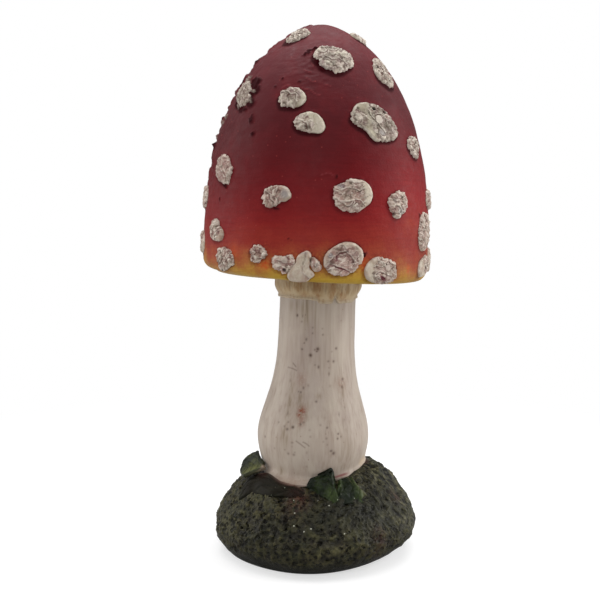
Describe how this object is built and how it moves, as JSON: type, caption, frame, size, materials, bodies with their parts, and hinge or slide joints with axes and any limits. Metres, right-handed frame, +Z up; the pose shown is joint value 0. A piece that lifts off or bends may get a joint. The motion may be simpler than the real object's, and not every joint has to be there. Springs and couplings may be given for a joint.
{
  "type": "toadstool ornament",
  "caption": "Free-standing painted plastic toadstool: a tall domed cap with raised warts on a bulbous stem, set in a leafy mound that rests on a felt pad.",
  "frame": {"origin": "middle of the flat underside that the ornament stands on", "axes": "+Z up along the height, -Y towards the pictured front, +X to the right of that front"},
  "size_m": [0.0625, 0.0626, 0.1405],
  "materials": {
    "cap_paint": "crimson paint with a satin sheen, orange to ochre at the rim",
    "wart_paint": "cream paint with a brown wash in the creases",
    "gill_paint": "ochre paint",
    "collar_paint": "ochre and cream paint over fine pleats",
    "stem_paint": "ivory paint with brown brush lines and pinholes",
    "moss_paint": "dark olive paint on a pitted surface, with small varnish glints",
    "leaf_paint": "dark green varnished paint",
    "felt": "dark felt"
  },
  "bodies": {
    "root": {"base_mound": "moss_paint", "base_pad": "felt", "cap_shell": "cap_paint", "gill_disc": "gill_paint", "leaf_back_left": "leaf_paint", "leaf_back_right": "leaf_paint", "leaf_front": "leaf_paint", "leaf_front_right": "leaf_paint", "leaf_left": "leaf_paint", "leaf_soil_left": "leaf_paint", "stem": "stem_paint", "stem_collar": "collar_paint", "wart_01": "wart_paint", "wart_02": "wart_paint", "wart_03": "wart_paint", "wart_04": "wart_paint", "wart_05": "wart_paint", "wart_06": "wart_paint", "wart_07": "wart_paint", "wart_08": "wart_paint", "wart_09": "wart_paint", "wart_10": "wart_paint", "wart_11": "wart_paint", "wart_12": "wart_paint", "wart_13": "wart_paint", "wart_14": "wart_paint", "wart_15": "wart_paint", "wart_16": "wart_paint", "wart_17": "wart_paint", "wart_18": "wart_paint", "wart_19": "wart_paint", "wart_20": "wart_paint", "wart_21": "wart_paint", "wart_22": "wart_paint", "wart_23": "wart_paint", "wart_24": "wart_paint", "wart_25": "wart_paint", "wart_26": "wart_paint", "wart_27": "wart_paint", "wart_28": "wart_paint", "wart_29": "wart_paint", "wart_30": "wart_paint", "wart_31": "wart_paint", "wart_32": "wart_paint", "wart_33": "wart_paint", "wart_34": "wart_paint", "wart_35": "wart_paint", "wart_36": "wart_paint", "wart_37": "wart_paint", "wart_38": "wart_paint", "wart_39": "wart_paint", "wart_40": "wart_paint", "wart_41": "wart_paint", "wart_42": "wart_paint", "wart_43": "wart_paint", "wart_44": "wart_paint", "wart_45": "wart_paint", "wart_46": "wart_paint", "wart_47": "wart_paint"}
  },
  "joints": []
}
